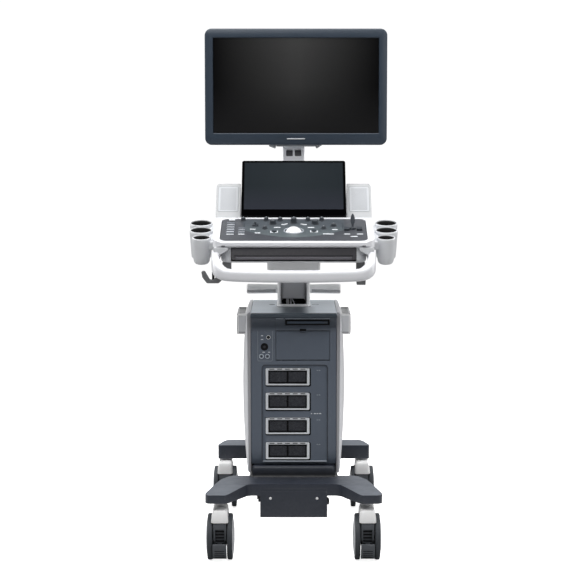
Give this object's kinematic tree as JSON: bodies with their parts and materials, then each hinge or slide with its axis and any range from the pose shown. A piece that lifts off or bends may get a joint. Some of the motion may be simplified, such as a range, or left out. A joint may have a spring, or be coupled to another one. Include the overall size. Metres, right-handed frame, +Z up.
{
  "type": "mobile ultrasound machine",
  "caption": "Diagnostic ultrasound cart: castered footed base, cabinet with probe ports, lifting column, tilted control console with touch panel and probe cups, monitor on a jointed arm.",
  "frame": {"origin": "on the floor, under the middle of the machine's overall box", "axes": "+Z up, the front (controls, screen, ports) faces -Y, +X to the right as the operator faces the machine"},
  "size_m": [0.578, 0.7686, 1.4375],
  "materials": {
    "base_plastic": "satin moulded plastic",
    "body_front": "satin moulded plastic",
    "body_top": "satin moulded plastic",
    "light_shell": "satin moulded plastic",
    "steel": "machined",
    "silver": "satin anodised",
    "sheet": "plated sheet",
    "dark_plastic": "fine grain",
    "deck": "fine grain",
    "drawer": "fine grain",
    "knob": "soft touch",
    "white": "polished",
    "bezel": "satin moulded plastic",
    "glass": "glass-fronted display",
    "tyre": "non-marking tread",
    "grey_hook": "satin"
  },
  "bodies": {
    "base": {"base_cover": "base_plastic", "base_frame": "steel", "power_module": "base_plastic", "body_chassis": "sheet", "front_cover": "body_front", "top_cover": "body_top", "side_cover_left": "light_shell", "side_cover_right": "light_shell", "rear_cover": "body_front", "port_panel": "body_front", "probe_port_1": "silver", "probe_port_2": "silver", "probe_port_3": "silver", "probe_port_4": "silver", "electronics_unit": "sheet", "drive_unit": "sheet", "side_tray_left": "light_shell", "side_tray_right": "light_shell", "column_shroud": "silver", "rear_handle": "silver", "lift_cylinder": "dark_plastic"},
    "drive_tray": {"drive_tray": "dark_plastic"},
    "bay_door": {"bay_door": "body_front"},
    "fan": {"fan_rotor": "dark_plastic"},
    "mast": {"lift_mast": "silver", "lift_rod": "steel"},
    "console": {"console_shell": "light_shell", "console_lower_shell": "light_shell", "front_handle": "light_shell", "control_panel": "deck", "cup_holder_left": "light_shell", "cup_holder_right": "light_shell"},
    "hook_left": {"cable_hook_left": "grey_hook"},
    "hook_right": {"cable_hook_right": "grey_hook"},
    "keyboard": {"keyboard_tray": "drawer"},
    "trackball": {"trackball": "white"},
    "touch_panel": {"touch_screen": "glass"},
    "center_knob": {"center_knob": "knob"},
    "knob_left": {"knob_left": "knob"},
    "knob_right": {"knob_right": "knob"},
    "joystick": {"joystick": "knob"},
    "power_button": {"power_button": "white"},
    "freeze_key": {"freeze_key": "knob"},
    "print_key": {"print_key": "knob"},
    "arm_lower": {"arm_lower": "light_shell"},
    "arm_upper": {"arm_upper": "light_shell"},
    "bracket": {"monitor_bracket": "light_shell"},
    "monitor_hinge": {"monitor_hinge": "silver"},
    "monitor": {"monitor_housing": "bezel", "monitor_screen": "glass"},
    "fork_front_left": {"caster_fork_front_left": "light_shell"},
    "wheels_front_left": {"caster_wheels_front_left": "tyre"},
    "pedal_left": {"brake_pedal_left": "dark_plastic"},
    "fork_front_right": {"caster_fork_front_right": "light_shell"},
    "wheels_front_right": {"caster_wheels_front_right": "tyre"},
    "pedal_right": {"brake_pedal_right": "dark_plastic"},
    "fork_rear_left": {"caster_fork_rear_left": "light_shell"},
    "wheels_rear_left": {"caster_wheels_rear_left": "tyre"},
    "fork_rear_right": {"caster_fork_rear_right": "light_shell"},
    "wheels_rear_right": {"caster_wheels_rear_right": "tyre"}
  },
  "joints": [
    {"name": "caster_swivel_front_left", "type": "hinge", "parent": "base", "child": "fork_front_left", "pos_m": [-0.198, -0.3, 0.16], "axis": [0, 0, 1], "continuous": true},
    {"name": "wheel_spin_front_left", "type": "hinge", "parent": "fork_front_left", "child": "wheels_front_left", "pos_m": [-0.198, -0.32, 0.0625], "axis": [1, 0, 0], "continuous": true},
    {"name": "brake_left", "type": "hinge", "parent": "fork_front_left", "child": "pedal_left", "pos_m": [-0.198, -0.367, 0.048], "axis": [1, 0, 0], "range_deg": [0, 12]},
    {"name": "caster_swivel_front_right", "type": "hinge", "parent": "base", "child": "fork_front_right", "pos_m": [0.198, -0.3, 0.16], "axis": [0, 0, 1], "continuous": true},
    {"name": "wheel_spin_front_right", "type": "hinge", "parent": "fork_front_right", "child": "wheels_front_right", "pos_m": [0.198, -0.32, 0.0625], "axis": [1, 0, 0], "continuous": true},
    {"name": "brake_right", "type": "hinge", "parent": "fork_front_right", "child": "pedal_right", "pos_m": [0.198, -0.367, 0.048], "axis": [1, 0, 0], "range_deg": [0, 12]},
    {"name": "caster_swivel_rear_left", "type": "hinge", "parent": "base", "child": "fork_rear_left", "pos_m": [-0.208, 0.32, 0.16], "axis": [0, 0, 1], "continuous": true},
    {"name": "wheel_spin_rear_left", "type": "hinge", "parent": "fork_rear_left", "child": "wheels_rear_left", "pos_m": [-0.208, 0.3, 0.0625], "axis": [1, 0, 0], "continuous": true},
    {"name": "caster_swivel_rear_right", "type": "hinge", "parent": "base", "child": "fork_rear_right", "pos_m": [0.208, 0.32, 0.16], "axis": [0, 0, 1], "continuous": true},
    {"name": "wheel_spin_rear_right", "type": "hinge", "parent": "fork_rear_right", "child": "wheels_rear_right", "pos_m": [0.208, 0.3, 0.0625], "axis": [1, 0, 0], "continuous": true},
    {"name": "fan_spin", "type": "hinge", "parent": "base", "child": "fan", "pos_m": [0, 0.159, 0.53], "axis": [0, 1, 0], "continuous": true},
    {"name": "drive_eject", "type": "slide", "parent": "base", "child": "drive_tray", "axis": [0, -1, 0], "range_m": [0, 0.1]},
    {"name": "bay_door_hinge", "type": "hinge", "parent": "base", "child": "bay_door", "pos_m": [0.025, -0.1505, 0.5205], "axis": [1, 0, 0], "range_deg": [0, 92]},
    {"name": "column_lift", "type": "slide", "parent": "base", "child": "mast", "axis": [0, 0, 1], "range_m": [0, 0.2]},
    {"name": "console_swivel", "type": "hinge", "parent": "mast", "child": "console", "pos_m": [0, 0.03, 0.799], "axis": [0, 0, 1], "range_deg": [-35, 35]},
    {"name": "keyboard_slide", "type": "slide", "parent": "console", "child": "keyboard", "axis": [0, -1, 0], "range_m": [0, 0.15]},
    {"name": "touch_tilt", "type": "hinge", "parent": "console", "child": "touch_panel", "pos_m": [0, -0.0745, 0.9025], "axis": [1, 0, 0], "range_deg": [-8, 20]},
    {"name": "hook_swivel_left", "type": "hinge", "parent": "console", "child": "hook_left", "pos_m": [-0.18, -0.25, 0.8], "axis": [0, 0, 1], "range_deg": [-90, 90]},
    {"name": "hook_swivel_right", "type": "hinge", "parent": "console", "child": "hook_right", "pos_m": [0.18, -0.25, 0.8], "axis": [0, 0, 1], "range_deg": [-90, 90]},
    {"name": "trackball_roll", "type": "hinge", "parent": "console", "child": "trackball", "pos_m": [0, -0.20473, 0.86762], "axis": [1, 0, 0], "continuous": true},
    {"name": "center_knob_turn", "type": "hinge", "parent": "console", "child": "center_knob", "pos_m": [0, -0.1409, 0.89678], "axis": [0, -0.2425, 0.9701], "continuous": true},
    {"name": "knob_left_turn", "type": "hinge", "parent": "console", "child": "knob_left", "pos_m": [-0.0575, -0.14963, 0.89459], "axis": [0, -0.2425, 0.9701], "continuous": true},
    {"name": "knob_right_turn", "type": "hinge", "parent": "console", "child": "knob_right", "pos_m": [0.0585, -0.14963, 0.89459], "axis": [0, -0.2425, 0.9701], "continuous": true},
    {"name": "joystick_tilt", "type": "hinge", "parent": "console", "child": "joystick", "pos_m": [0.1605, -0.19037, 0.88441], "axis": [1, 0, 0], "range_deg": [-12, 12]},
    {"name": "power_press", "type": "slide", "parent": "console", "child": "power_button", "axis": [0, 0.2425, -0.9701], "range_m": [0, 0.0015]},
    {"name": "freeze_press", "type": "slide", "parent": "console", "child": "freeze_key", "axis": [0, 0.2425, -0.9701], "range_m": [0, 0.002]},
    {"name": "print_press", "type": "slide", "parent": "console", "child": "print_key", "axis": [0, 0.2425, -0.9701], "range_m": [0, 0.002]},
    {"name": "arm_swivel", "type": "hinge", "parent": "console", "child": "arm_lower", "pos_m": [0, 0.15, 0.93], "axis": [0, 0, 1], "range_deg": [-45, 45]},
    {"name": "arm_lift", "type": "hinge", "parent": "arm_lower", "child": "arm_upper", "pos_m": [0, 0.15, 0.985], "axis": [1, 0, 0], "range_deg": [-22, 20]},
    {"name": "bracket_level", "type": "hinge", "parent": "arm_upper", "child": "bracket", "pos_m": [0, 0.24, 1.165], "axis": [1, 0, 0], "range_deg": [-20, 22]},
    {"name": "monitor_pan", "type": "hinge", "parent": "bracket", "child": "monitor_hinge", "pos_m": [0, 0.2, 1.2145], "axis": [0, 0, 1], "range_deg": [-30, 30]},
    {"name": "monitor_tilt", "type": "hinge", "parent": "monitor_hinge", "child": "monitor", "pos_m": [0, 0.18, 1.262], "axis": [1, 0, 0], "range_deg": [-25, 4]}
  ],
  "couplings": [
    {"joint": "bracket_level", "follows": "arm_lift", "ratio": -1}
  ]
}
